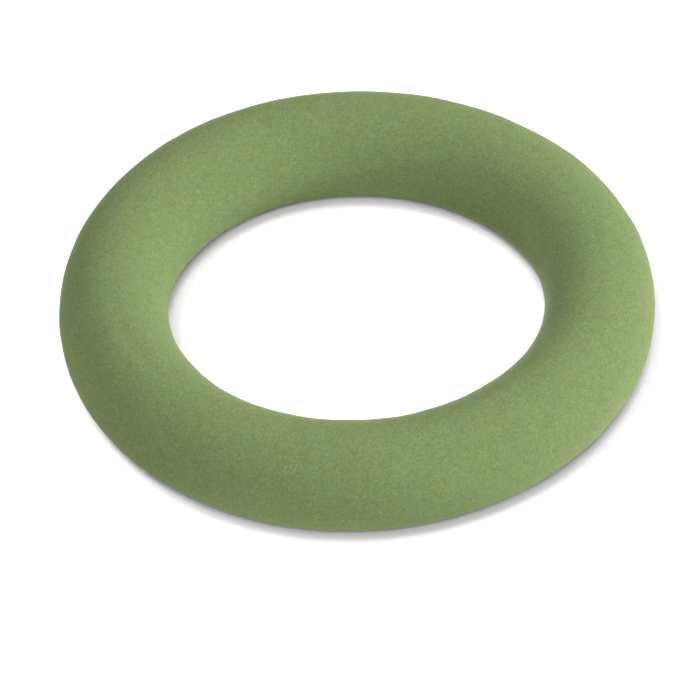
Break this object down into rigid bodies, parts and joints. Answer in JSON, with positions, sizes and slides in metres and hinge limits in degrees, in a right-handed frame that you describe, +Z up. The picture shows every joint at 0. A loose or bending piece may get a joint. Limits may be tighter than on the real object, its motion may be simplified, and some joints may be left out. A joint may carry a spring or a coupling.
{
  "type": "floral foam ring",
  "caption": "Round ring of water-holding floral foam with a nearly round section, bonded to a thin moulded base ring that it overhangs, for building wreaths and table rings.",
  "frame": {"origin": "centre of the ring at the height of the surface that it lies on, which is the underside of the base ring", "axes": "+Z up along the ring's axis of symmetry; +X and +Y lie in the plane of the ring, which is the same all round"},
  "size_m": [0.25, 0.25, 0.04],
  "materials": {
    "foam": "matte",
    "adhesive": "satin",
    "base": "matte"
  },
  "bodies": {
    "root": {"foam_ring": "foam", "glue_bead_inner": "adhesive", "glue_bead_outer": "adhesive", "base_ring": "base"}
  },
  "joints": []
}
